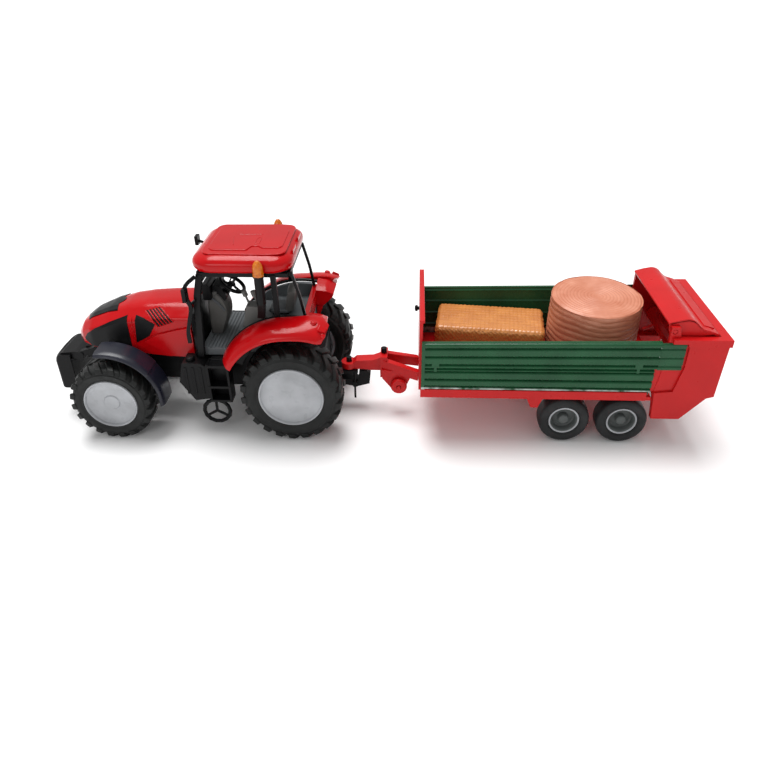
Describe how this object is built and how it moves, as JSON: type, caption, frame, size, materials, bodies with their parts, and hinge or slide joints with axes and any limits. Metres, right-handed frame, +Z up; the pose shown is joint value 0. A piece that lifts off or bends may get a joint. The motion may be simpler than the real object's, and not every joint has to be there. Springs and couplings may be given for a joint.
{
  "type": "toy tractor with spreader trailer",
  "caption": "Toy farm tractor with a steered oscillating front axle, hitched to a tandem-axle spreader trailer with lift-out bales.",
  "frame": {"origin": "middle of the footprint of the tractor and trailer together, on the ground plane", "axes": "+Z up, +X towards the trailer's rear, the tractor drives towards -X, +Y towards the tractor's right side"},
  "size_m": [0.4934, 0.111, 0.1404],
  "materials": {
    "black_plastic": "fine-grained moulded black plastic, satin",
    "fender_black": "smooth blue-black moulded plastic",
    "axle_steel": "plain drawn steel rod",
    "tractor_red": "glossy bright red moulded plastic",
    "cab_grey": "light grey moulded plastic with a fine texture",
    "dark_grey": "dark grey moulded plastic",
    "amber_lens": "translucent amber plastic",
    "tractor_tyre": "black soft plastic tyre with block lugs",
    "rim_grey": "light silver-grey moulded plastic",
    "trailer_red": "semi-gloss red moulded plastic",
    "trailer_green": "semi-gloss dark green moulded plastic",
    "trailer_tyre": "dark grey soft plastic tyre",
    "trailer_rim": "grey moulded plastic",
    "hay_salmon": "salmon moulded plastic with a straw texture",
    "straw_orange": "orange-tan moulded plastic with a woven straw texture"
  },
  "bodies": {
    "tractor": {"chassis": "black_plastic", "front_weight_block": "black_plastic", "front_axle_pivot_pin": "axle_steel", "hood": "tractor_red", "grille_insert": "black_plastic", "cab_tub": "cab_grey", "steering_console": "dark_grey", "driver_seat": "dark_grey", "side_console": "dark_grey", "cab_frame": "black_plastic", "cab_roof": "tractor_red", "rear_fender_left": "tractor_red", "rear_fender_right": "tractor_red", "beacon_post_left": "black_plastic", "beacon_post_right": "black_plastic", "beacon_lens_left": "amber_lens", "beacon_lens_right": "amber_lens", "mirror_left": "black_plastic", "mirror_right": "black_plastic", "steps_left": "black_plastic", "steps_right": "black_plastic", "tow_hitch": "black_plastic"},
    "front_axle": {"front_axle_beam": "black_plastic", "front_fender_left": "fender_black", "front_fender_right": "fender_black"},
    "knuckle_left": {"steering_knuckle_left": "black_plastic"},
    "knuckle_right": {"steering_knuckle_right": "black_plastic"},
    "tie_rod": {"tie_rod": "black_plastic"},
    "front_wheel_left": {"front_tyre_left": "tractor_tyre", "front_rim_left": "rim_grey"},
    "front_wheel_right": {"front_tyre_right": "tractor_tyre", "front_rim_right": "rim_grey"},
    "rear_wheels": {"rear_axle": "axle_steel", "rear_tyre_left": "tractor_tyre", "rear_tyre_right": "tractor_tyre", "rear_rim_left": "rim_grey", "rear_rim_right": "rim_grey"},
    "steering_wheel": {"steering_wheel": "black_plastic"},
    "trailer": {"trailer_bed": "trailer_red", "trailer_front_wall": "trailer_red", "trailer_side_wall_left": "trailer_green", "trailer_side_wall_right": "trailer_green", "drawbar": "trailer_red", "drawbar_bolt": "black_plastic", "spreader_housing": "trailer_red"},
    "jockey_wheel": {"jockey_wheel": "trailer_red"},
    "spreader_hood": {"spreader_hood": "trailer_red"},
    "spreader_beater": {"spreader_beater": "trailer_red"},
    "trailer_front_wheels": {"trailer_front_axle": "axle_steel", "trailer_front_tyre_left": "trailer_tyre", "trailer_front_tyre_right": "trailer_tyre", "trailer_front_rim_left": "trailer_rim", "trailer_front_rim_right": "trailer_rim"},
    "trailer_rear_wheels": {"trailer_rear_axle": "axle_steel", "trailer_rear_tyre_left": "trailer_tyre", "trailer_rear_tyre_right": "trailer_tyre", "trailer_rear_rim_left": "trailer_rim", "trailer_rear_rim_right": "trailer_rim"},
    "round_bale": {"round_bale": "hay_salmon"},
    "square_bale": {"square_bale": "straw_orange"}
  },
  "joints": [
    {"name": "front_axle_tilt", "type": "hinge", "parent": "tractor", "child": "front_axle", "pos_m": [-0.1911, 0, 0.033], "axis": [1, 0, 0], "range_deg": [-5, 5]},
    {"name": "steer_left", "type": "hinge", "parent": "front_axle", "child": "knuckle_left", "pos_m": [-0.1911, -0.025, 0.033], "axis": [0, 0, 1], "range_deg": [-10, 10]},
    {"name": "steer_right", "type": "hinge", "parent": "front_axle", "child": "knuckle_right", "pos_m": [-0.1911, 0.025, 0.033], "axis": [0, 0, 1], "range_deg": [-10, 10]},
    {"name": "tie_rod_slide", "type": "slide", "parent": "front_axle", "child": "tie_rod", "axis": [0, 1, 0], "range_m": [-0.002, 0.002]},
    {"name": "front_wheel_left_spin", "type": "hinge", "parent": "knuckle_left", "child": "front_wheel_left", "pos_m": [-0.1911, -0.045, 0.031], "axis": [0, 1, 0], "continuous": true},
    {"name": "front_wheel_right_spin", "type": "hinge", "parent": "knuckle_right", "child": "front_wheel_right", "pos_m": [-0.1911, 0.045, 0.031], "axis": [0, 1, 0], "continuous": true},
    {"name": "rear_wheels_spin", "type": "hinge", "parent": "tractor", "child": "rear_wheels", "pos_m": [-0.0567, 0, 0.038], "axis": [0, 1, 0], "continuous": true},
    {"name": "steering_wheel_turn", "type": "hinge", "parent": "tractor", "child": "steering_wheel", "pos_m": [-0.1035, 0, 0.1042], "axis": [0.5299, 0, 0.848], "continuous": true},
    {"name": "trailer_yaw", "type": "hinge", "parent": "tractor", "child": "trailer", "pos_m": [-0.0187, 0, 0.037], "axis": [0, 0, 1], "range_deg": [-45, 45]},
    {"name": "jockey_wheel_spin", "type": "hinge", "parent": "trailer", "child": "jockey_wheel", "pos_m": [0.0208, -0.0126, 0.024], "axis": [0, 1, 0], "continuous": true},
    {"name": "spreader_hood_lift", "type": "hinge", "parent": "trailer", "child": "spreader_hood", "pos_m": [0.2078, 0, 0.093], "axis": [0, -1, 0], "range_deg": [0, 90]},
    {"name": "spreader_beater_spin", "type": "hinge", "parent": "trailer", "child": "spreader_beater", "pos_m": [0.2253, 0, 0.062], "axis": [0, 1, 0], "continuous": true},
    {"name": "trailer_front_wheels_spin", "type": "hinge", "parent": "trailer", "child": "trailer_front_wheels", "pos_m": [0.1429, 0, 0.0186], "axis": [0, 1, 0], "continuous": true},
    {"name": "trailer_rear_wheels_spin", "type": "hinge", "parent": "trailer", "child": "trailer_rear_wheels", "pos_m": [0.1847, 0, 0.0186], "axis": [0, 1, 0], "continuous": true},
    {"name": "round_bale_lift", "type": "slide", "parent": "trailer", "child": "round_bale", "axis": [0, 0, 1], "range_m": [0, 0.06]},
    {"name": "square_bale_lift", "type": "slide", "parent": "trailer", "child": "square_bale", "axis": [0, 0, 1], "range_m": [0, 0.06]}
  ],
  "couplings": [
    {"joint": "steer_right", "follows": "steer_left", "ratio": 1},
    {"joint": "tie_rod_slide", "follows": "steer_left", "m_per_rad": 0.011}
  ]
}
